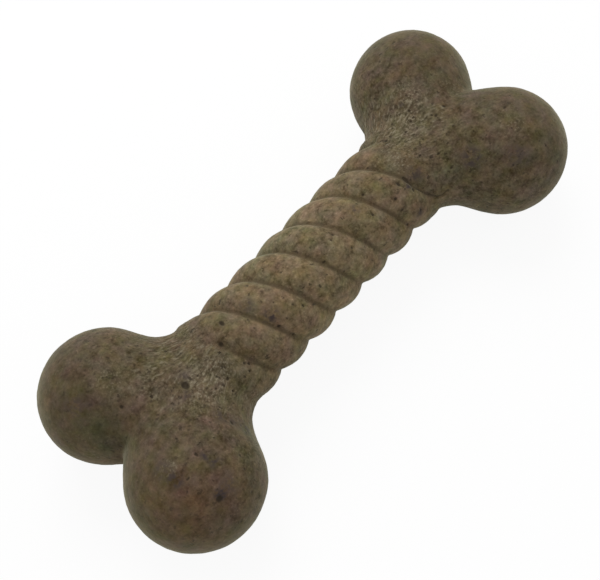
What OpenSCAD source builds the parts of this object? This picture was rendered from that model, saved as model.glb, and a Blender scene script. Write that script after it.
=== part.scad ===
// Bone-shaped dog chew, moulded from bamboo fibre: two knuckles with two round lobes each,
// and between them a shaft of three strands twisted like a rope.
// Millimetres. X runs along the shaft, Z is up, and the origin lies under the middle, where the chew rests.

/* [Overall] */
// Length over both ends
overall_length = 150; // [120:1:200]

/* [Knuckles] */
// Diameter of each round lobe
lobe_d = 33.5; // [30:0.5:40]
// How far the two lobes of a knuckle run into each other
lobe_overlap = 1.5; // [0.5:0.25:8]
// Size of the soft hollow where a lobe flows into the shaft
neck_blend = 11.3; // [4:0.1:14]
// Size of the soft crease in the notch between the lobes
notch_blend = 1.7; // [0.5:0.1:5]
// How far the round nose of the shaft reaches past the lobe centres, into the notch
nose_reach = 2.4; // [0:0.1:6]

/* [Neck] */
// How far the plain neck lies below the crests of the strands
neck_step = 0.85; // [0:0.05:2.5]
// Length of the neck between the lobes and the ends of the strands
neck_length = 3.75; // [2:0.25:12]

/* [Strands] */
// Diameter of the twisted shaft over the crests of its strands
shaft_d = 26.7; // [22:0.1:30]
// Depth of the grooves between the strands
groove_depth = 1.5; // [0.5:0.1:3]
// Length of one full turn of a strand
strand_lead = 30.75; // [20:0.25:60]
// Turn of the first groove about the shaft at mid-length, in degrees
strand_turn = 5; // [0:1:119]
// Length over which a groove runs out at each end
groove_run_out = 4.5; // [1:0.25:12]

/* [Hidden] */
strand_count = 3;

lobe_r = lobe_d / 2;
lobe_x = overall_length / 2 - lobe_r;
lobe_y = lobe_r - lobe_overlap / 2;
crest_r = shaft_d / 2;
neck_r = crest_r - neck_step;
nose_x = lobe_x + nose_reach - neck_r;
joint_x = lobe_x - lobe_r - neck_length;
strand_angle = 360 / strand_count;

// Fineness of the skin: steps across a strand, degrees of twist per ring, rings over a knuckle, halvings per point
arc_steps = 14;
twist_step = 12;
knuckle_rings = 34;
halvings = 26;
strand_rings = ceil(2 * joint_x / strand_lead * 360 / twist_step);
round_steps = strand_count * arc_steps;
reach_limit = 2 * lobe_d;

knuckle_colour = [0.345, 0.305, 0.24];
strand_colour = [0.41, 0.355, 0.27];

// The moulded skin is the level zero of one field, in which lobes and shaft flow into each other.

// Lesser of two distances, rounded over where they come within size of each other
function soft_min(a, b, size) =
    let (near = max(size - abs(a - b), 0) / size)
    min(a, b) - near * near * size / 4;

// 0 to 1 over the run-out of the grooves, and 1 along the rest of the shaft
function groove_share(x) =
    let (t = max(0, min(1, (joint_x - abs(x)) / groove_run_out)))
    t * t * (3 - 2 * t);

// Radius of the shaft at x, in the direction phi about it: parabolic crests that run out into the round neck
function shaft_radius(x, phi) =
    let (turns = (phi - strand_turn - 360 * x / strand_lead) / strand_angle,
         across = 2 * (turns - floor(turns)) - 1)
    neck_r + groove_share(x) * (crest_r - groove_depth * across * across - neck_r);

// Distance to one lobe, on the side of the shaft that sign_y gives
function lobe_field(p, sign_y) = norm([abs(p.x) - lobe_x, p.y - sign_y * lobe_y, p.z]) - lobe_r;

// Distance to the shaft, which ends in a round nose between the lobes
function shaft_field(p) =
    norm([max(abs(p.x) - nose_x, 0), p.y, p.z]) - shaft_radius(p.x, atan2(p.z, p.y));

function skin_field(p) =
    soft_min(soft_min(lobe_field(p, 1), lobe_field(p, -1), notch_blend), shaft_field(p), neck_blend);

// How far the skin lies from a point inside, along a direction, by halving the stretch that holds it
function skin_reach(from, along, low = 0, high = reach_limit, n = halvings) =
    let (mid = (low + high) / 2)
    n == 0 ? mid
    : skin_field(from + mid * along) < 0 ? skin_reach(from, along, mid, high, n - 1)
    : skin_reach(from, along, low, mid, n - 1);

// Point of the skin at x along the shaft, in the direction phi about it
function skin_point(x, phi) =
    let (out = [0, cos(phi), sin(phi)])
    [x, 0, 0] + skin_reach([x, 0, 0], out) * out;

// Angle about the shaft of the groove before strand k, at x
function groove_angle(k, x) = strand_turn + strand_angle * (k - 1) + 360 * x / strand_lead;

// Two triangles over the patch a b c d, split from a to c, with b and d to its sides
function patch(a, b, c, d) = [[a, b, c], [a, c, d]];

function flipped(faces) = [for (f = faces) [for (i = [len(f) - 1 : -1 : 0]) f[i]]];

// One strand: a third of the shaft, from its centre line to the skin, twisted from knuckle to knuckle.
// Each ring is one point on the centre line and the arc of skin points from groove to groove.
module strand(k) {
    ring_size = arc_steps + 2;
    function at(ring, i) = ring * ring_size + i;
    points = [
        for (ring = [0 : strand_rings])
            let (x = joint_x * (2 * ring / strand_rings - 1))
            each concat(
                [[x, 0, 0]],
                [for (i = [0 : arc_steps]) skin_point(x, groove_angle(k, x) + strand_angle * i / arc_steps)])
    ];
    skin = [
        for (ring = [0 : strand_rings - 1], i = [1 : arc_steps])
            each patch(at(ring, i), at(ring, i + 1), at(ring + 1, i + 1), at(ring + 1, i))
    ];
    // Both flanks split from the centre line to the next ring, so that neighbouring strands meet face to face
    first_flank = [
        for (ring = [0 : strand_rings - 1])
            each patch(at(ring, 0), at(ring, 1), at(ring + 1, 1), at(ring + 1, 0))
    ];
    last_flank = [
        for (ring = [0 : strand_rings - 1])
            each patch(at(ring, 0), at(ring, ring_size - 1), at(ring + 1, ring_size - 1), at(ring + 1, 0))
    ];
    start_face = [[for (i = [0 : ring_size - 1]) at(0, i)]];
    end_face = [[for (i = [0 : ring_size - 1]) at(strand_rings, i)]];
    color(strand_colour)
        translate([0, 0, lobe_r])
            polyhedron(
                points,
                concat(flipped(skin), flipped(first_flank), last_flank, start_face, flipped(end_face)),
                convexity = 10);
}

// One knuckle, at the end that side gives: rings of skin points seen from between its lobes,
// from the face where the strands end to the tip of the notch.
module knuckle(side) {
    eye = [side * lobe_x, 0, 0];
    joint = side * joint_x;
    function at(ring, i) = ring * round_steps + i % round_steps;
    function turn(i) = groove_angle(1, joint) + 360 * i / round_steps;
    joint_ring = [for (i = [0 : round_steps - 1]) skin_point(joint, turn(i))];
    tip = knuckle_rings * round_steps;
    points = [
        each joint_ring,
        for (ring = [1 : knuckle_rings - 1], i = [0 : round_steps - 1])
            let (rim = atan2(norm([joint_ring[i].y, joint_ring[i].z]), lobe_x - joint_x),
                 swing = rim + (180 - rim) * ring / knuckle_rings,
                 along = [-side * cos(swing), sin(swing) * cos(turn(i)), sin(swing) * sin(turn(i))])
            eye + skin_reach(eye, along) * along,
        eye + skin_reach(eye, [side, 0, 0]) * [side, 0, 0]
    ];
    faces = concat(
        [[for (i = [0 : round_steps - 1]) at(0, i)]],
        [for (ring = [0 : knuckle_rings - 2], i = [0 : round_steps - 1])
            each flipped(patch(at(ring, i), at(ring, i + 1), at(ring + 1, i + 1), at(ring + 1, i)))],
        [for (i = [0 : round_steps - 1]) [tip, at(knuckle_rings - 1, i + 1), at(knuckle_rings - 1, i)]]);
    color(knuckle_colour)
        translate([0, 0, lobe_r])
            polyhedron(points, side > 0 ? faces : flipped(faces), convexity = 10);
}

module left_knuckle() { knuckle(-1); }

module right_knuckle() { knuckle(1); }

left_knuckle();
right_knuckle();
for (k = [1 : strand_count]) strand(k);
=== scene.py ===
import math
import random

import bmesh
import bpy
from mathutils import Matrix, Vector, noise
from mathutils.kdtree import KDTree


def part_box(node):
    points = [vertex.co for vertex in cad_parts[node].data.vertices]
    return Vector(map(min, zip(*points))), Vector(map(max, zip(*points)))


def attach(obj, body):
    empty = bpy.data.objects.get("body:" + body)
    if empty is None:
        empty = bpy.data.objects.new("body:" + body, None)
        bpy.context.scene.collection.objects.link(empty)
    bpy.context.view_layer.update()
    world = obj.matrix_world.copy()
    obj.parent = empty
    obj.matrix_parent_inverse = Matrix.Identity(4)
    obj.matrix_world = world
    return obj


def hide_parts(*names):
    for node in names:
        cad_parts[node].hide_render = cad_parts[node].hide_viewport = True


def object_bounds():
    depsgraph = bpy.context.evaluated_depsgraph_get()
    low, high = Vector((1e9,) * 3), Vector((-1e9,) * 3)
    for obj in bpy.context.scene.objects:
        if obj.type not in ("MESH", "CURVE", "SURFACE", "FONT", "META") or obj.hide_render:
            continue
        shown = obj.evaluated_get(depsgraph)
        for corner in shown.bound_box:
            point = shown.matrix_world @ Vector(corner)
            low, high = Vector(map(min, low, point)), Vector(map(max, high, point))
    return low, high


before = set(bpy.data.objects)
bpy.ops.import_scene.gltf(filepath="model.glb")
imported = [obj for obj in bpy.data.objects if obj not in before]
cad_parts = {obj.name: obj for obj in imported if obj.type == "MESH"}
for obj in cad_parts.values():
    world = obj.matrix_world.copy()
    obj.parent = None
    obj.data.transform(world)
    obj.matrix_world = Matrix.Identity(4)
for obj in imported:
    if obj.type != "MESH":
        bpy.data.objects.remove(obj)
cadLow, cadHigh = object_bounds()
axisPoint = (cadLow + cadHigh) / 2          # the shaft runs along X through here
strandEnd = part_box("strand_1")[1].x         # the strands end here, at both knuckles
mm = 0.001
print("frame loaded, chew", [round(side / mm, 1) for side in cadHigh - cadLow], "mm")

pieceNodes = {
    "leftKnuckle": "left_knuckle",
    "rightKnuckle": "right_knuckle",
    "strandOne": "strand_1",
    "strandTwo": "strand_2",
    "strandThree": "strand_3",
}

twist = {
    "strands": 3,
    "lead": 30.75 * mm,
    "startTurn": math.radians(5),
}

# The photograph's viewing angle and frame
camera = {
    "lookAt": Vector((-6.04, -0.82, 14.75)) * mm,
    "azimuth": -34.69,
    "elevation": 64.01,
    "roll": -14.23,
    "distance": 226.57 * mm,
    "lens": 52.87,
    "sensor": 36.0,
    "nearest": 1 * mm,
    "imageSize": (600, 580),
}


def pick(*objs):
    bpy.ops.object.select_all(action="DESELECT")
    for obj in objs:
        obj.select_set(True)
    bpy.context.view_layer.objects.active = objs[0]


def selectEdges(mesh, test, add=False):
    if not add:
        bpy.ops.mesh.select_all(action="DESELECT")
    work = bmesh.from_edit_mesh(mesh)
    for edge in work.edges:
        if test(edge):
            edge.select_set(True)
    bmesh.update_edit_mesh(mesh)


def applyModifier(obj, kind, **settings):
    modifier = obj.modifiers.new(kind.title(), kind)
    for key, value in settings.items():
        setattr(modifier, key, value)
    pick(obj)
    bpy.ops.object.modifier_apply(modifier=modifier.name)


def smooth(value, low, high):
    share = min(1.0, max(0.0, (value - low) / (high - low)))
    return share * share * (3 - 2 * share)


def addCamera():
    turn = math.radians(camera["azimuth"])
    lift = math.radians(camera["elevation"])
    back = Vector((math.sin(turn) * math.cos(lift), -math.cos(turn) * math.cos(lift), math.sin(lift)))
    upright = back.to_track_quat("Z", "Y").to_matrix()
    rolled = upright @ Matrix.Rotation(math.radians(camera["roll"]), 3, "Z")
    place = camera["lookAt"] + back * camera["distance"]
    bpy.ops.object.camera_add()
    seen = bpy.context.active_object
    seen.name = "photoCamera"
    seen.matrix_world = Matrix.Translation(place) @ rolled.to_4x4()
    seen.data.lens = camera["lens"]
    seen.data.sensor_width = camera["sensor"]
    seen.data.sensor_fit = "HORIZONTAL"
    seen.data.clip_start = camera["nearest"]
    bpy.context.scene.camera = seen
    return seen


photoCamera = addCamera()
print("camera placed")

# One skin over the whole chew, so that its finish runs on from piece to piece
skin = {
    "mergeGap": 0.02 * mm,
    "touch": 0.01 * mm,
    "leastWeight": 0.001,
    "levels": (1, 2),                     # before the grooves are rounded, and after
    "strandRunOut": 6 * mm,
    "sideFill": 0.55 * mm,
    "sideWidth": math.radians(22),
    "smoothing": 0.5,
    "shaftFade": (-2 * mm, 2 * mm),
    "grooveRounds": 5,
    "runOutAt": 36.5 * mm,
    "runOutReach": (2 * mm, 6 * mm),
    "runOutRounds": 14,
    "runOutFill": (34.8 * mm, 1.7 * mm, 0.45 * mm),     # place along the shaft, reach, height
    "neckWaist": (41 * mm, 3 * mm, -0.45 * mm),
    "swell": 0.26 * mm,
}


def isInside(face):
    corners = [v.co - axisPoint for v in face.verts]
    near = skin["touch"]
    atEnd = all(abs(abs(c.x) - strandEnd) < near for c in corners)
    onAxis = any(math.hypot(c.y, c.z) < near and abs(c.x) < strandEnd + near for c in corners)
    return atEnd or onAxis


def openShell(pieceName, nodeName):
    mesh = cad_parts[nodeName].data.copy()
    mesh.materials.clear()
    mesh.materials.append(bpy.data.materials.new(pieceName))     # the skin is parted by these later
    shell = bpy.data.objects.new(pieceName, mesh)
    bpy.context.collection.objects.link(shell)
    pick(shell)
    bpy.ops.mesh.customdata_custom_splitnormals_clear()
    bpy.ops.object.mode_set(mode="EDIT")
    bpy.ops.mesh.select_all(action="SELECT")
    bpy.ops.mesh.remove_doubles(threshold=skin["mergeGap"])
    bpy.ops.mesh.select_all(action="DESELECT")
    work = bmesh.from_edit_mesh(mesh)
    for face in work.faces:
        face.select_set(isInside(face))     # the faces where the pieces meet
    bmesh.update_edit_mesh(mesh)
    bpy.ops.mesh.delete(type="FACE")
    bpy.ops.object.mode_set(mode="OBJECT")
    return shell


def joinSkin():
    shells = [openShell(*names) for names in pieceNodes.items()]
    pick(*shells)
    bpy.ops.object.join()
    whole = bpy.context.active_object
    bpy.ops.object.mode_set(mode="EDIT")
    bpy.ops.mesh.select_all(action="SELECT")
    bpy.ops.mesh.remove_doubles(threshold=skin["mergeGap"])
    bpy.ops.mesh.tris_convert_to_quads(face_threshold=math.pi, shape_threshold=math.pi)
    bpy.ops.mesh.normals_make_consistent(inside=False)
    work = bmesh.from_edit_mesh(whole.data)
    for edge in work.edges:
        owners = {face.material_index for face in edge.link_faces}
        inShaft = any(abs(v.co.x) < strandEnd - skin["touch"] for v in edge.verts)
        edge.seam = len(owners) > 1 and inShaft     # marks the grooves
    bmesh.update_edit_mesh(whole.data)
    bpy.ops.object.mode_set(mode="OBJECT")
    bpy.ops.object.shade_smooth()
    return whole


def subdivide(levels):
    applyModifier(chewSkin, "SUBSURF", levels=levels, render_levels=levels)


def weighVertices(name, weigh):
    group = chewSkin.vertex_groups.new(name=name)
    for vertex in chewSkin.data.vertices:
        weight = weigh(vertex.co)
        if weight > skin["leastWeight"]:
            group.add([vertex.index], weight, "REPLACE")


def pushGroup(name, height, **settings):
    applyModifier(chewSkin, "DISPLACE", strength=height, mid_level=0, vertex_group=name, **settings)


def smoothGroup(name, rounds):
    applyModifier(chewSkin, "SMOOTH", factor=skin["smoothing"], iterations=rounds, vertex_group=name)


def grooveTurn(co):
    around = math.atan2(co.z - axisPoint.z, co.y - axisPoint.y)
    return around - twist["startTurn"] - math.tau * co.x / twist["lead"]


def strandTurns(co):
    return grooveTurn(co) * twist["strands"] / math.tau     # whole numbers at the grooves


def strandFall(co):
    turns = strandTurns(co)
    fromCrest = 2 * abs(turns - math.floor(turns) - 0.5)
    return fromCrest ** 2 * smooth(strandEnd - abs(co.x), 0, skin["strandRunOut"])


# The grooves are shallower along both sides at mid-height
def atSides(co):
    around = math.atan2(co.z - axisPoint.z, abs(co.y - axisPoint.y))
    return math.exp(-(around / skin["sideWidth"]) ** 2)


def roundGrooves():
    for name, side in (("frontSide", -1), ("backSide", 1)):
        weighVertices(
            name, lambda co: strandFall(co) * atSides(co) if side * (co.y - axisPoint.y) > 0 else 0)
        pushGroup(name, side * skin["sideFill"], direction="Y")
    weighVertices("shaft", lambda co: smooth(strandEnd - abs(co.x), *skin["shaftFade"]))
    smoothGroup("shaft", skin["grooveRounds"])
    weighVertices("runOuts", lambda co: 1 - smooth(abs(abs(co.x) - skin["runOutAt"]), *skin["runOutReach"]))
    smoothGroup("runOuts", skin["runOutRounds"])
    for name in ("runOutFill", "neckWaist"):
        middle, reach, height = skin[name]
        weighVertices(name, lambda co: math.exp(-((abs(co.x) - middle) / reach) ** 2))
        pushGroup(name, height)


chewSkin = joinSkin()
subdivide(skin["levels"][0])
roundGrooves()          # moulded grooves are soft, and run out into the necks
subdivide(skin["levels"][1])
applyModifier(chewSkin, "DISPLACE", strength=skin["swell"], mid_level=0)     # makes up for the smoothing
print("skin joined and smoothed:", len(chewSkin.data.polygons), "faces")

# Moulded unevenness all over, a fine line at the bottom of each groove, and fibre ridges on the necks
relief = {
    "lumpSize": 7 * mm,
    "lumpHeight": 0.20 * mm,
    "lumpDepth": 1,
    "dimpleSize": 1.3 * mm,
    "dimpleHeight": 0.11 * mm,
    "dimpleDepth": 2,
    "strandRound": 0.3 * mm,
    "lineWidth": 0.45 * mm,
    "lineDepth": 0.13 * mm,
    "lineRunOut": 11 * mm,
    "lineFade": 0.5,                      # how much of the line goes at the sides
    # dirt and painted shade along each groove: a darker colour, set a little off the groove line and weaker
    # at the sides
    "grimeAndShadeWidth": 0.46 * mm,
    "grimeAndShadeShift": 0.06 * mm,
    "grimeAndShadeFade": 0.45,
    "ridgeHeight": 0.22 * mm,
    "ridgeFrom": (29.5 * mm, 35 * mm),
    "ridgeSpan": (-0.7, 0.7),
    "neckAt": 40 * mm,
    "neckReach": (19 * mm, 19 * mm),      # along and across
    "neckMiddle": (0, 6.5 * mm),          # left and right: the photograph shows the right one to one side
    "neckFade": (0.15, 1.25),
    "fanEnd": 57,                         # the fan of fibres is in mm, as its numbers feed noise
    "fanLeast": 6,
    "fanMiddle": 1.5,
    "fanPerMm": (0.85, 1.9, 1.2),
    "fanLong": (0.5, 1.15, 1.0),
    "fanFiner": 1.5,
    "fanWeights": (0.8, 0.65),
}


def cloudTexture(name, size, depth):
    texture = bpy.data.textures.new(name, "CLOUDS")
    texture.noise_scale = size
    texture.noise_depth = depth
    return texture


def grooveNear(co, width, shift=0):
    if abs(co.x) > strandEnd:
        return 0
    turns = strandTurns(co)
    radius = math.hypot(co.y - axisPoint.y, co.z - axisPoint.z)
    slant = math.sin(math.atan(twist["lead"] / (math.tau * radius)))
    away = (turns - round(turns)) * math.tau / twist["strands"] * radius * slant - shift
    return math.exp(-(away / width) ** 2) * smooth(strandEnd - abs(co.x), 0, relief["lineRunOut"])


def lineShare(co):
    return grooveNear(co, relief["lineWidth"]) * (1 - relief["lineFade"] * atSides(co))


# how much dirt and painted shade each vertex gets near a groove
def grimeAndShadeShare(co):
    near = grooveNear(co, relief["grimeAndShadeWidth"], relief["grimeAndShadeShift"])
    return near * (1 - relief["grimeAndShadeFade"] * atSides(co))


def neckShare(co):
    along, across = relief["neckReach"]
    middle = relief["neckMiddle"][1 if co.x > 0 else 0]
    away = math.hypot((abs(co.x) - relief["neckAt"]) / along, (co.y - middle) / across)
    return smooth(abs(co.x), *relief["ridgeFrom"]) * (1 - smooth(away, *relief["neckFade"]))


# Fibres spread from the shaft into both lobes: they run where the second value stays the same
def fibreHeight(co):
    across = (co.y / mm - relief["fanMiddle"]) * max(relief["fanEnd"] - abs(co.x) / mm, relief["fanLeast"])
    spread = across / (relief["fanEnd"] - relief["neckAt"] / mm)
    place = Vector((co.x / mm, spread, (co.z - axisPoint.z) / mm)) * Vector(relief["fanPerMm"])
    longWeight, fineWeight = relief["fanWeights"]
    longFibre = noise.noise(place * Vector(relief["fanLong"]))
    return longWeight * longFibre + fineWeight * noise.noise(relief["fanFiner"] * place)


def shadeVertices(name, weigh):
    shade = chewSkin.data.attributes.new(name, "FLOAT", "POINT")
    shade.data.foreach_set("value", [weigh(vertex.co) for vertex in chewSkin.data.vertices])


def raiseRelief():
    weighVertices("lines", lineShare)
    # dirt and painted shade along the grooves, kept as an attribute for the finish
    shadeVertices("grooveShade", grimeAndShadeShare)
    shadeVertices("neckShade", neckShare)
    shadeVertices("fibreShade", lambda co: neckShare(co) * fibreHeight(co))
    for name in ("lump", "dimple"):
        texture = cloudTexture(name, relief[name + "Size"], relief[name + "Depth"])
        applyModifier(chewSkin, "DISPLACE", texture=texture, strength=relief[name + "Height"])
    pushGroup("lines", -relief["lineDepth"])
    weighVertices("strandSides", strandFall)
    pushGroup("strandSides", -relief["strandRound"])
    weighVertices("ridges", lambda co: neckShare(co) * smooth(fibreHeight(co), *relief["ridgeSpan"]))
    pushGroup("ridges", relief["ridgeHeight"])


raiseRelief()
print("unevenness, groove lines and fibre ridges raised")

# Pits left where a fibre came away: those that the photograph shows, as pixel and radius in mm, a crease
# along the run-out of the last groove, and others at random on the sides that it doesn't show
pits = {
    "seenAt": [
        (398.5, 184, 0.62), (395.6, 199, 0.52), (373, 214.5, 0.52), (413.5, 189.5, 0.55),
        (185, 385, 1.05), (244.6, 363, 0.48), (249.2, 363.5, 0.52), (220.8, 344.5, 0.55),
        (196, 454, 0.55), (188, 479, 0.50), (219.6, 499, 0.75), (232, 422.5, 0.52),
        (121.4, 407, 0.55), (221.5, 323, 0.70), (504.7, 107, 0.52), (362.7, 195, 0.40),
        (332.7, 234.5, 0.42), (331, 240, 0.38), (352, 247.6, 0.35), (324, 262, 0.45),
        (407.6, 224.6, 0.45), (293, 304.4, 0.36), (303.2, 305.6, 0.45), (273.5, 302.5, 0.33),
        (279, 326.3, 0.60), (293.3, 334.4, 0.40), (444, 106, 0.55), (423, 139, 0.40),
        (420, 155.4, 0.42), (438.5, 153.8, 0.42), (471.5, 127, 0.36), (405.4, 131.5, 0.48),
        (410.8, 121.5, 0.40), (385.4, 141, 0.50), (451.5, 167.7, 0.40), (484.6, 98.5, 0.38),
        (436, 115.4, 0.38), (409, 110.8, 0.38), (165.4, 350.8, 0.45), (250, 371, 0.36),
        (216, 388.5, 0.40), (151.5, 397, 0.42), (227.7, 379, 0.40), (220, 407, 0.42),
        (233, 391, 0.35), (241.7, 521.7, 0.36),
    ],
    "least": 0.5,
    "perRadius": 0.6,                     # larger pits are deeper
    # the crease is a chain of pits: it is sunk, and painted shade darkens it
    "creaseAt": [(403, 178), (413, 187), (425, 193), (437, 197), (442, 195), (449, 190)],
    "creaseRadius": 0.5,
    "creaseUneven": (0.6, 1.1),
    "creaseShare": 0.6,
    "creaseSteps": 6,
    "others": 40,
    "othersRadius": (0.25, 0.45),
    "othersShare": 0.75,
    "stretch": (0.6, 1.15),
    "rim": (0.4, 1.3),
    "reach": 2.5,
    "depth": 0.32 * mm,
    "seed": 11,
}

# Dark smudges, pale scuffs and reddish or greenish tints, as pixel, radius in mm and strength: those that
# the photograph shows, and as many at random on the sides that it doesn't show
marks = {
    "smudgeAt": [
        (176, 481, 1.5, 0.6), (214, 461, 1.3, 0.55), (204, 455.5, 0.9, 0.6), (220, 495, 1.0, 0.8),
        (472, 158, 2.8, 0.55), (402, 104, 1.0, 0.5), (408, 187, 0.9, 0.6), (420, 212, 1.4, 0.5),
        (221, 323, 1.0, 0.5), (220, 416, 2.2, 0.4), (186, 396, 1.8, 0.4), (272, 316, 2.2, 0.55),
        (247, 429, 2.0, 0.5), (236, 423, 2.0, 0.35), (184, 377, 1.6, 0.4), (247, 305, 2.2, 0.4),
        (162, 470, 2.5, 0.35), (228, 487, 3.0, 0.35), (516, 156, 3.6, 0.4), (415, 174, 2.4, 0.45),
        (355, 209, 2.0, 0.4), (76, 406, 3.6, 0.35),
    ],
    "scuffAt": [
        (208, 388, 5.0, 0.85), (402, 128, 4.6, 0.85), (418, 118, 2.4, 0.5), (411, 93, 3.2, 0.7),
        (395, 158, 3.2, 0.85), (171, 467, 1.5, 0.9), (196, 371, 1.4, 0.6), (222, 367, 2.6, 0.8),
        (250, 398, 2.2, 0.75), (452, 88, 2.4, 0.4), (400, 161, 2.2, 0.5), (188, 329, 2.2, 0.45),
        (148, 385, 3.0, 0.4), (111, 378, 3.4, 0.4), (97, 457, 3.0, 0.35), (513, 121, 3.4, 0.45),
    ],
    "blushAt": [
        (191, 508, 6.5, 1.0), (232, 480, 4.0, 0.7), (216, 420, 3.0, 0.6), (113, 334, 3.0, 0.5),
        (105, 444, 4.0, -0.9), (257, 373, 3.0, -0.6), (371, 50, 3.5, -0.6),
    ],
    "reach": 2,
}


def skinAt(pixelX, pixelY):
    width, height = camera["imageSize"]
    focal = camera["lens"] / camera["sensor"] * width
    ray = Vector(((pixelX - width / 2) / focal, (height / 2 - pixelY) / focal, -1)).normalized()
    eye = photoCamera.matrix_world
    _, place, _, _ = chewSkin.ray_cast(eye.translation, eye.to_3x3() @ ray)
    return place


def skinTree():
    vertices = chewSkin.data.vertices
    tree = KDTree(len(vertices))
    for vertex in vertices:
        tree.insert(vertex.co, vertex.index)
    tree.balance()
    return tree


def findPits(chance, unseen):
    spots = []
    for x, y, radius in pits["seenAt"]:
        spots.append((skinAt(x, y), radius * mm, min(1, pits["least"] + pits["perRadius"] * radius)))
    for (startX, startY), (endX, endY) in zip(pits["creaseAt"], pits["creaseAt"][1:]):
        for step in range(pits["creaseSteps"]):
            share = step / pits["creaseSteps"]
            place = skinAt(startX + share * (endX - startX), startY + share * (endY - startY))
            radius = pits["creaseRadius"] * chance.uniform(*pits["creaseUneven"]) * mm
            spots.append((place, radius, pits["creaseShare"]))
    for _ in range(pits["others"]):
        place = chewSkin.data.vertices[chance.choice(unseen)].co.copy()
        spots.append((place, chance.uniform(*pits["othersRadius"]) * mm, pits["othersShare"]))
    return spots


def weighPits(spots, tree, chance):
    sunk = {}
    for place, radius, full in spots:
        squeeze = Vector([chance.uniform(*pits["stretch"]) for _ in range(3)])     # no pit is quite round
        for co, index, _ in tree.find_range(place, pits["reach"] * radius):
            away = ((co - place) * squeeze).length / radius
            sunk[index] = max(sunk.get(index, 0), full * (1 - smooth(away, *pits["rim"])))
    group = chewSkin.vertex_groups.new(name="pits")
    # pitShade: how strongly painted shade darkens each pit's bottom
    shade = chewSkin.data.attributes.new("pitShade", "FLOAT", "POINT")
    for index, share in sunk.items():
        group.add([index], share, "REPLACE")
        shade.data[index].value = share


def spreadMarks(name, tree, chance, unseen):
    spots = [(skinAt(x, y), radius * mm, share) for x, y, radius, share in marks[name + "At"]]
    for _ in range(len(spots)):
        _, radius, share = chance.choice(spots)
        place = chewSkin.data.vertices[chance.choice(unseen)].co.copy()
        spots.append((place, radius, share))
    shade = chewSkin.data.attributes.new(name + "Shade", "FLOAT", "POINT")
    for place, radius, share in spots:
        for _, index, away in tree.find_range(place, marks["reach"] * radius):
            shade.data[index].value += share * (1 - smooth(away / radius, 0, marks["reach"]))


def wearSkin():
    chance = random.Random(pits["seed"])
    eye = photoCamera.matrix_world.translation
    unseen = [v.index for v in chewSkin.data.vertices if v.normal.dot(eye - v.co) < 0]
    tree = skinTree()
    spots = findPits(chance, unseen)
    weighPits(spots, tree, chance)
    for name in ("smudge", "scuff", "blush"):
        spreadMarks(name, tree, chance, unseen)
    pushGroup("pits", -pits["depth"])
    chewSkin.vertex_groups.clear()
    return len(spots)


print("pits sunk:", wearSkin())

# The skin is parted again into the pieces of the frame, and each is closed as its solid is
parting = {
    "sameGroove": 0.1,                    # of a turn
    "sharpAbove": math.radians(55),
}


def onGroove(edge, number):
    middle = (edge.verts[0].co + edge.verts[1].co) / 2
    away = (grooveTurn(middle) - math.tau * number / twist["strands"]) / math.tau
    return edge.is_boundary and edge.seam and abs(away - round(away)) < parting["sameGroove"]


def partSkin():
    pick(chewSkin)
    bpy.ops.object.mode_set(mode="EDIT")
    bpy.ops.mesh.select_all(action="SELECT")
    bpy.ops.mesh.separate(type="MATERIAL")
    bpy.ops.object.mode_set(mode="OBJECT")
    parted = {obj.data.materials[0].name: obj for obj in bpy.context.selected_objects}
    for name, obj in parted.items():
        obj.name = name
        obj.data.name = name
    return parted


def closeStrand(strand, number):
    mesh = strand.data
    pick(strand)
    bpy.ops.object.mode_set(mode="EDIT")
    bpy.ops.mesh.select_mode(type="EDGE")
    selectEdges(mesh, lambda edge: onGroove(edge, number))
    bpy.ops.mesh.extrude_edges_move()
    bpy.ops.transform.resize(value=(1, 0, 0), center_override=axisPoint)     # onto the centre line
    selectEdges(mesh, lambda edge: onGroove(edge, number + 1), add=True)
    bpy.ops.mesh.bridge_edge_loops()
    bpy.ops.mesh.select_all(action="SELECT")
    bpy.ops.mesh.fill_holes(sides=0)
    bpy.ops.object.mode_set(mode="OBJECT")


def closeKnuckle(knuckle):
    pick(knuckle)
    bpy.ops.object.mode_set(mode="EDIT")
    bpy.ops.mesh.select_mode(type="EDGE")
    selectEdges(knuckle.data, lambda edge: edge.is_boundary)
    bpy.ops.mesh.edge_face_add()
    bpy.ops.mesh.poke()
    bpy.ops.object.mode_set(mode="OBJECT")


def finishMesh(piece):
    pick(piece)
    bpy.ops.object.mode_set(mode="EDIT")
    bpy.ops.mesh.select_all(action="SELECT")
    bpy.ops.mesh.mark_seam(clear=True)
    bpy.ops.mesh.normals_make_consistent(inside=False)
    bpy.ops.object.mode_set(mode="OBJECT")
    bpy.ops.object.shade_smooth_by_angle(angle=parting["sharpAbove"])


pieces = partSkin()
for number, name in enumerate(("strandOne", "strandTwo", "strandThree")):
    closeStrand(pieces[name], number)
for name in ("leftKnuckle", "rightKnuckle"):
    closeKnuckle(pieces[name])
for piece in pieces.values():
    finishMesh(piece)
print("pieces parted and closed:", {name: len(piece.data.polygons) for name, piece in pieces.items()})


# Shader maths as expressions on sockets
class Signal:
    def __init__(self, board, socket):
        self.board = board
        self.socket = socket

    def combine(self, operation, first, second):
        return self.board.node("ShaderNodeMath", {"operation": operation}, {0: first, 1: second})

    def __add__(self, other):
        return self.combine("ADD", self, other)

    def __radd__(self, other):
        return self.combine("ADD", other, self)

    def __sub__(self, other):
        return self.combine("SUBTRACT", self, other)

    def __rsub__(self, other):
        return self.combine("SUBTRACT", other, self)

    def __mul__(self, other):
        return self.combine("MULTIPLY", self, other)

    def __rmul__(self, other):
        return self.combine("MULTIPLY", other, self)


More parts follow.
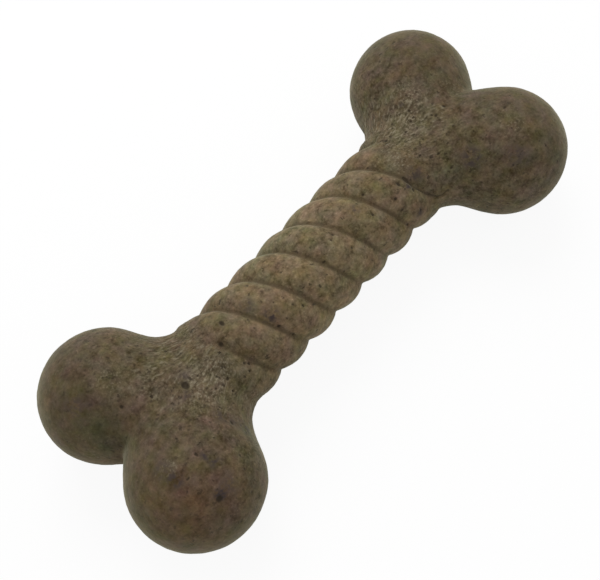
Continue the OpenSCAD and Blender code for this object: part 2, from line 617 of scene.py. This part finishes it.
class NodeBoard:
    def __init__(self, owner):
        owner.use_nodes = True
        self.tree = owner.node_tree
        self.tree.nodes.clear()

    def node(self, kind, settings=None, inputs=None, output=0):
        made = self.tree.nodes.new(kind)
        for key, value in (settings or {}).items():
            if key == "stops":
                for element in list(made.color_ramp.elements)[1:]:
                    made.color_ramp.elements.remove(element)
                made.color_ramp.elements[0].position = value[0][0]
                for place, _ in value[1:]:
                    made.color_ramp.elements.new(place)
                for element, (_, colour) in zip(made.color_ramp.elements, value):
                    element.color = (*colour, 1)
            else:
                setattr(made, key, value)
        for key, value in (inputs or {}).items():
            if isinstance(value, Signal):
                self.tree.links.new(value.socket, made.inputs[key])
            else:
                made.inputs[key].default_value = value
        return Signal(self, made.outputs[output]) if made.outputs else made

    def step(self, value, low, high):
        settings = {"interpolation_type": "SMOOTHSTEP"}
        return self.node("ShaderNodeMapRange", settings, {0: value, 1: low, 2: high, 3: 0.0, 4: 1.0})

    def noise(self, vector, scale, detail, roughness, output=0):
        inputs = {"Vector": vector, "Scale": scale, "Detail": detail, "Roughness": roughness}
        return self.node("ShaderNodeTexNoise", {}, inputs, output)

    def cells(self, vector, scale, output=0):
        inputs = {"Vector": vector, "Scale": scale}
        return self.node("ShaderNodeTexVoronoi", {"feature": "F1"}, inputs, output)

    def shade(self, name):
        return self.node("ShaderNodeAttribute", {"attribute_name": name}, output="Fac")

    def blend(self, factor, first, second, kind="MIX"):
        settings = {"data_type": "RGBA", "blend_type": kind}
        return self.node("ShaderNodeMix", settings, {0: factor, 6: first, 7: second}, output=2)

    def larger(self, first, second):
        return self.node("ShaderNodeMath", {"operation": "MAXIMUM"}, {0: first, 1: second})

    def clamp(self, value):
        return self.node("ShaderNodeClamp", {}, {0: value})

    def grey(self, value):
        return self.node("ShaderNodeCombineColor", {}, {0: value, 1: value, 2: value})


# Bamboo fibre in a binder: matt grey-brown, paler along the shaft, mottled, with pale fibres and dark
# specks. A noise is its scale per mm, detail and roughness. A step is where it starts and where it is full.
bambooFibre = {
    "tones": [                            # from the middle of the shaft to the ends
        (0.00, (0.1409, 0.1053, 0.0579)),
        (0.20, (0.1399, 0.1027, 0.0573)),
        (0.37, (0.1179, 0.0853, 0.0475)),
        (0.55, (0.0887, 0.0683, 0.0381)),
        (0.68, (0.0822, 0.0606, 0.0352)),
        (0.81, (0.0744, 0.0544, 0.0307)),
        (1.00, (0.0830, 0.0608, 0.0306)),
    ],
    "gloss": (0.016, 0.016, 0.016, 1),    # the part of the seen colour that mottling must not tint
    "blotchNoise": (0.25, 3, 0.5),
    "mottleNoise": (0.65, 4, 0.6),
    "grainNoise": (1.6, 3, 0.65),
    "noiseMiddle": 0.5,
    "blotches": (0.55, 0.5),              # all over, and more where it isn't an end
    "mottle": 1.78,
    "grain": 1.0,
    "flecks": 0.4,
    "fleckStep": (0.58, 0.76),
    "endFade": 0.42,
    "endStep": (44.0, 70.0),              # mm from the middle of the shaft
    "darkest": 0.5,
    "hueNoise": (0.22, 5, 0.6),
    "greyAside": (140.0, 60.0, 90.0),
    "pinkToGreen": 0.60,
    "greyToYellow": 0.72,
    "greyWithPink": (0.3, 0.35),          # on the shaft, and more on the knuckles
    "knuckleStep": (30.0, 42.0),
    "blush": 0.16,
    "waverNoise": (0.4, 1.0, 0.5),
    "waver": (1.6, 1.6, 1.6),
    "fanPerMm": (0.55, 2.2, 1.2),
    "fanNoise": (1.0, 3, 0.65),
    "fineFibre": 1.6,
    "paleFibre": (0.215, 0.183, 0.125, 1),
    "paleShare": 0.5,
    "paleStep": (0.1, 0.55),
    "scuff": (0.10, 0.9),                 # all over a scuff, and more on its grain
    "scuffStep": (0.50, 0.70),
    "gapShare": 0.3,
    "gapStep": (-0.12, -0.6),
    "speck": (0.022, 0.016, 0.010, 1),
    "speckScale": 0.42,
    "speckChance": 0.2,
    "speckRagged": 0.5,
    "speckStep": (0.28, 0.12),
    "speckShare": 0.65,
    "dotScale": 0.62,
    "dotStep": (0.24, 0.10),
    "dotFrom": (34.0, 40.0),
    "dotShare": 0.5,
    # the groove colour: dirt and painted shade
    "grooveGrimeAndShade": (0.045, 0.031, 0.016, 1),
    "grimeAndShadeShare": (0.14, 0.85),            # all along a groove, and more where it is mottled
    "smudge": (0.042, 0.031, 0.029, 1),
    "smudgeMottle": (0.36, 0.6),
    "smudgeStep": (0.0, 0.6),
    # painted shade at the bottoms of the pits and along the crease
    "pit": (0.025, 0.018, 0.011, 1),
    "pitRagged": 0.6,
    "pitStep": (0.2, 0.85),
    "pitShare": 0.9,
    "bumpHeight": 0.16 * mm,
    "bumpMottle": 0.5,
    "bumpGrain": 0.45,
    "bumpFibre": 0.8,
    "bumpSpeck": 0.5,
    "roughness": 0.8,
    "roughMottle": 0.25,
    "specular": 0.08,
    "sheen": 0.225,
    "sheenTint": (1.0, 1.0, 0.72, 1),
    "sheenRoughness": 0.4,
}


def makeBambooFibre():
    look = bambooFibre
    middle = look["noiseMiddle"]
    material = bpy.data.materials.new("bambooFibre")
    board = NodeBoard(material)
    here = board.node("ShaderNodeTexCoord", output="Object")
    inMm = board.node("ShaderNodeVectorMath", {"operation": "SCALE"}, {0: here, "Scale": 1 / mm})
    x, y, z = [board.node("ShaderNodeSeparateXYZ", {}, {0: inMm}, axis) for axis in range(3)]
    outward = board.node("ShaderNodeMath", {"operation": "ABSOLUTE"}, {0: x})
    tone = board.node("ShaderNodeValToRGB", {"stops": look["tones"]}, {0: outward * (mm / cadHigh.x)})

    # Patches, mottling and grain, coarse to fine, fading towards the ends
    blotches = board.noise(inMm, *look["blotchNoise"])
    mottle = board.noise(inMm, *look["mottleNoise"])
    grain = board.noise(inMm, *look["grainNoise"])
    coarse = 1 - look["endFade"] * board.step(outward, *look["endStep"])
    flecks = board.step(grain, *look["fleckStep"])
    patchy = (look["blotches"][0] + look["blotches"][1] * coarse) * (blotches - middle)
    mottled = look["mottle"] * (mottle - middle) + look["grain"] * (grain - middle)
    mottled = mottled + look["flecks"] * flecks
    light = board.larger(1 + patchy + coarse * mottled, look["darkest"])

    # Tints from pink to green and from grey to yellow
    aside = board.node("ShaderNodeVectorMath", {"operation": "ADD"}, {0: inMm, 1: look["greyAside"]})
    pink = board.noise(inMm, *look["hueNoise"]) - middle
    grey = board.noise(aside, *look["hueNoise"]) - middle
    onKnuckle = board.step(outward, *look["knuckleStep"])
    withPink = look["greyWithPink"][0] + look["greyWithPink"][1] * onKnuckle
    red = 1 + look["pinkToGreen"] * pink + look["blush"] * board.shade("blushShade")
    blue = 1 + look["greyToYellow"] * (grey + withPink * pink)
    hue = board.node("ShaderNodeCombineColor", {}, {0: red, 1: 1.0, 2: blue})
    tone = board.blend(1.0, tone, look["gloss"], "ADD")
    tone = board.blend(1.0, tone, board.grey(light), "MULTIPLY")
    tone = board.blend(1.0, tone, hue, "MULTIPLY")
    tone = board.blend(1.0, tone, look["gloss"], "SUBTRACT")

    # Pale fibres on the necks, with dark gaps between them, and pale scuffs
    inward = board.larger(relief["fanEnd"] - outward, relief["fanLeast"])
    spread = (y - relief["fanMiddle"]) * inward * (1 / (relief["fanEnd"] - relief["neckAt"] / mm))
    alongFan, acrossFan, upFan = look["fanPerMm"]
    fan = board.node("ShaderNodeCombineXYZ", {}, {0: alongFan * x, 1: acrossFan * spread, 2: upFan * z})
    fine = board.noise(fan, *look["fanNoise"]) - middle
    fibre = board.shade("fibreShade") + look["fineFibre"] * (fine * board.shade("neckShade"))
    onGrain = look["scuff"][0] + look["scuff"][1] * board.step(grain, *look["scuffStep"])
    palest = look["paleShare"] * board.step(fibre, *look["paleStep"]) + board.shade("scuffShade") * onGrain
    tone = board.blend(palest, tone, look["paleFibre"])
    between = board.step(fibre, *look["gapStep"])

    # Dirt and painted shade in the grooves, smudges, and painted shade at the bottoms of the pits
    grimeAndShade = look["grimeAndShadeShare"][0] + look["grimeAndShadeShare"][1] * mottle + (blotches - middle)
    tone = board.blend(grimeAndShade * board.shade("grooveShade"), tone, look["grooveGrimeAndShade"])
    smudge = board.shade("smudgeShade") * board.step(mottle, *look["smudgeMottle"])
    tone = board.blend(board.step(smudge, *look["smudgeStep"]), tone, look["smudge"])
    # painted shade at the bottoms of the pits and along the crease, with ragged edges
    pit = board.step(board.shade("pitShade") + look["pitRagged"] * (grain - middle), *look["pitStep"])
    tone = board.blend(look["pitShare"] * pit, tone, look["pit"])

    # Dark specks all over, and smaller ones on the knuckles
    waver = board.noise(inMm, *look["waverNoise"], output="Color")
    wavered = board.node(
        "ShaderNodeVectorMath", {"operation": "MULTIPLY_ADD"}, {0: waver, 1: look["waver"], 2: inMm})
    cellColour = board.cells(wavered, look["speckScale"], "Color")
    lot = board.node("ShaderNodeSeparateColor", {}, {0: cellColour})
    ragged = look["speckRagged"] * (grain - middle)
    speck = board.cells(wavered, look["speckScale"]) + look["speckChance"] * lot + ragged
    speck = board.step(speck, *look["speckStep"]) * coarse
    dots = board.step(board.cells(wavered, look["dotScale"]) + ragged, *look["dotStep"])
    dots = dots * board.step(outward, *look["dotFrom"]) * coarse
    dark = look["speckShare"] * speck + look["dotShare"] * dots + look["gapShare"] * between
    tone = board.blend(board.clamp(dark), tone, look["speck"])

    height = coarse * (look["bumpMottle"] * mottle + look["bumpGrain"] * grain)
    height = height + look["bumpFibre"] * fibre - look["bumpSpeck"] * speck
    bump = board.node(
        "ShaderNodeBump", {}, {"Strength": 1.0, "Distance": look["bumpHeight"], "Height": height})
    shader = board.node("ShaderNodeBsdfPrincipled", {}, {
        "Base Color": tone,
        "Roughness": look["roughness"] + look["roughMottle"] * (mottle - middle),
        "Normal": bump,
        "Specular IOR Level": look["specular"],
        "Sheen Weight": look["sheen"],
        "Sheen Tint": look["sheenTint"],
        "Sheen Roughness": look["sheenRoughness"],
    })
    board.node("ShaderNodeOutputMaterial", {}, {"Surface": shader})
    return material


fibreFinish = makeBambooFibre()
for name, piece in pieces.items():
    piece.data.materials.clear()
    piece.data.materials.append(fibreFinish)
    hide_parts(pieceNodes[name])
    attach(piece, "root")
print("bamboo fibre finish given to", len(pieces), "pieces")

# White studio: a floor that shows white and keeps a faint shadow, an even sky and one large soft lamp
studio = {
    "white": (1, 1, 1, 1),
    "floorSize": 3.0,
    "floorColour": (0.82, 0.82, 0.82, 1),
    "floorGlow": 0.92,
    "skyLight": 0.74,
    "lampToward": Vector((0.394, 0.521, 0.763)),
    "lampDistance": 0.8,
    "lampSize": 0.55,
    "lampPower": 4.2,
}


def seenDirectly(board):
    rays = ("Is Camera Ray", "Is Glossy Ray", "Is Transmission Ray")
    direct, glossy, through = [board.node("ShaderNodeLightPath", output=name) for name in rays]
    return board.clamp(direct + glossy + through)


def addFloor():
    bpy.ops.object.select_all(action="DESELECT")
    bpy.ops.mesh.primitive_plane_add(size=studio["floorSize"])
    floor = bpy.context.active_object
    floor.name = "floor"
    material = bpy.data.materials.new("floorWhite")
    board = NodeBoard(material)
    matt = board.node("ShaderNodeBsdfDiffuse", {}, {"Color": studio["floorColour"]})
    glow = board.node("ShaderNodeEmission", {}, {"Color": studio["white"], "Strength": 1.0})
    share = studio["floorGlow"] * seenDirectly(board)
    mixed = board.node("ShaderNodeMixShader", {}, {0: share, 1: matt, 2: glow})
    board.node("ShaderNodeOutputMaterial", {}, {"Surface": mixed})
    floor.data.materials.append(material)


def addLight():
    world = bpy.data.worlds.new("studio")
    bpy.context.scene.world = world
    board = NodeBoard(world)
    level = studio["skyLight"] + (1 - studio["skyLight"]) * seenDirectly(board)
    sky = board.node("ShaderNodeBackground", {}, {"Color": studio["white"], "Strength": level})
    board.node("ShaderNodeOutputWorld", {}, {"Surface": sky})
    toward = studio["lampToward"].normalized()
    place = axisPoint + toward * studio["lampDistance"]
    bpy.ops.object.light_add(type="AREA")
    lamp = bpy.context.active_object
    lamp.name = "softLamp"
    lamp.data.shape = "DISK"
    lamp.data.size = studio["lampSize"]
    lamp.data.energy = studio["lampPower"]
    lamp.matrix_world = Matrix.Translation(place) @ toward.to_track_quat("Z", "Y").to_matrix().to_4x4()


addFloor()
addLight()
bpy.context.scene.view_settings.view_transform = "Standard"
print("studio lit")
